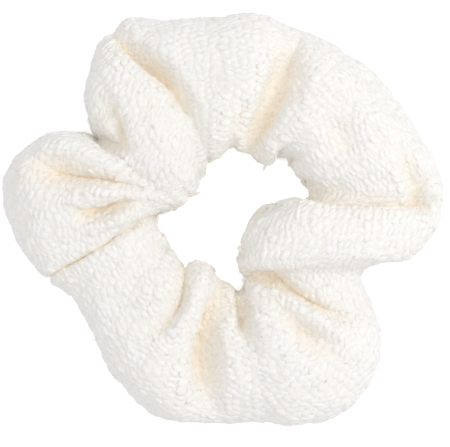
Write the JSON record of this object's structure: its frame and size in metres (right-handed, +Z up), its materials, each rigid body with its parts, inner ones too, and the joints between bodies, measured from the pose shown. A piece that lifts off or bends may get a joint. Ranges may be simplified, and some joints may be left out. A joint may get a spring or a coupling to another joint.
{
  "type": "scrunchie",
  "caption": "Gathered hair scrunchie: a chunky woven cream cloth tube, sewn closed in a ring over a lapped flat elastic loop.",
  "frame": {"origin": "centre of the footprint, on the surface that the scrunchie rests on", "axes": "+Z up along the ring's axis, through the hair opening; +X along the longest side, with the closing seam near -X; +Y across it"},
  "size_m": [0.1326, 0.1246, 0.0368],
  "materials": {
    "cloth": "chunky slubby plain weave, matt and slightly fuzzy",
    "elastic": "flat braided elastic, matt",
    "thread": "twisted sewing thread, slight sheen"
  },
  "bodies": {
    "cover": {"fabric_cover": "cloth", "long_seam_needle_thread": "thread", "long_seam_bobbin_thread": "thread", "closing_seam_needle_thread": "thread", "closing_seam_bobbin_thread": "thread"},
    "elastic": {"elastic_band": "elastic", "elastic_join_needle_thread": "thread", "elastic_join_bobbin_thread": "thread"}
  },
  "joints": [
    {"name": "elastic_turns_in_cover", "type": "hinge", "parent": "cover", "child": "elastic", "pos_m": [0.00056, 0.00292, 0.0165], "axis": [0, 0, 1], "continuous": true}
  ]
}
